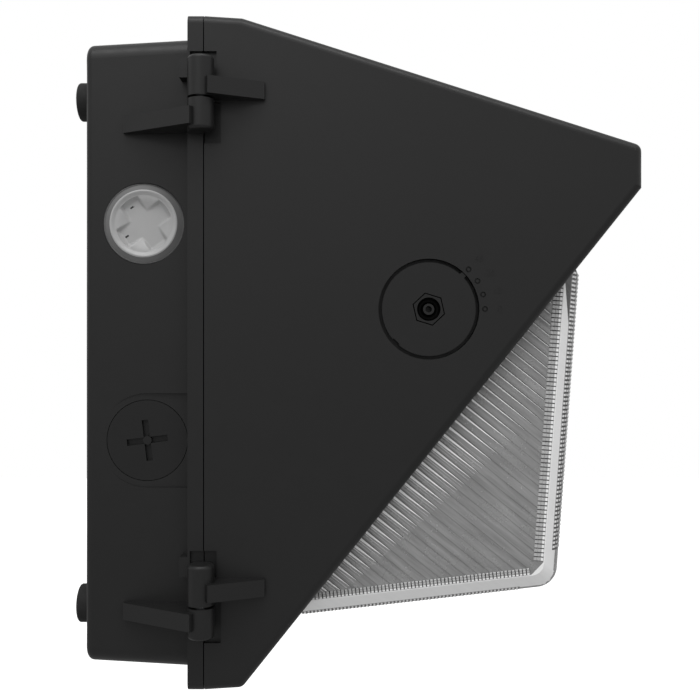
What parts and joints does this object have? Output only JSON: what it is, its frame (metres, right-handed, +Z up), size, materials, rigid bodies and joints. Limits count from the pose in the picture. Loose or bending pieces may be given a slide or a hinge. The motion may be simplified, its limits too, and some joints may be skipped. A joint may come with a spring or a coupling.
{
  "type": "wall pack light",
  "caption": "Outdoor wall pack light: cast back box, hood that swings on left-hand hinges, prismatic refractor and an LED module whose tilt is set by dials on the hood's sides.",
  "frame": {"origin": "on the wall plane, in the middle of the four wall screw holes", "axes": "+Y into the wall, -Y out to the front, +Z up, +X to the right as seen from the front"},
  "size_m": [0.381, 0.1969, 0.23],
  "materials": {
    "casting": "die-cast, dark textured powder coat",
    "dial": "die-cast, dark powder coat, smoother than the castings",
    "dark_steel": "dark coated steel",
    "rubber": "matt dark rubber",
    "steel": "zinc-plated steel",
    "window": "translucent, satin",
    "cell": "black moulded",
    "plug": "black moulded",
    "driver_case": "extruded, satin",
    "lead": "wire insulation",
    "terminal": "off-white moulded",
    "ground": "green passivated",
    "refractor": "clear, prismatic ribs",
    "aluminium": "extruded, satin",
    "board": "white solder mask",
    "led": "yellow phosphor"
  },
  "bodies": {
    "housing": {"back_box": "casting", "wall_pads": "rubber", "door_gasket": "rubber", "hinge_pins": "steel", "photocell_window": "window", "window_oring": "rubber", "photocell": "cell", "photocell_bracket": "steel", "photocell_bracket_screws": "steel", "conduit_plugs": "plug", "plug_orings": "rubber", "wire_entry_grommet": "rubber", "led_driver": "driver_case", "driver_screws": "steel", "driver_leads": "lead", "terminal_block": "terminal", "terminal_screws": "steel", "ground_screw": "ground", "ground_washer": "ground"},
    "hood": {"hood": "casting", "refractor": "refractor", "refractor_gasket": "rubber", "refractor_clips": "steel", "clip_screws": "steel", "door_screws": "steel", "door_screw_washers": "steel", "screw_retainers": "steel"},
    "module": {"left_dial": "dial", "right_dial": "dial", "dial_orings": "rubber", "lock_bolts": "dark_steel", "spring_washers": "steel", "lock_nuts": "steel", "end_brackets": "aluminium", "end_bracket_screws": "steel", "heat_sink": "aluminium", "led_board": "board", "leds": "led", "board_screws": "steel", "board_connector": "terminal"}
  },
  "joints": [
    {"name": "door_hinge", "type": "hinge", "parent": "housing", "child": "hood", "pos_m": [-0.1849, -0.0475, 0], "axis": [0, 0, -1], "range_deg": [0, 105]},
    {"name": "module_tilt", "type": "hinge", "parent": "hood", "child": "module", "pos_m": [0, -0.1241, 0.0148], "axis": [1, 0, 0], "range_deg": [0, 45]}
  ]
}
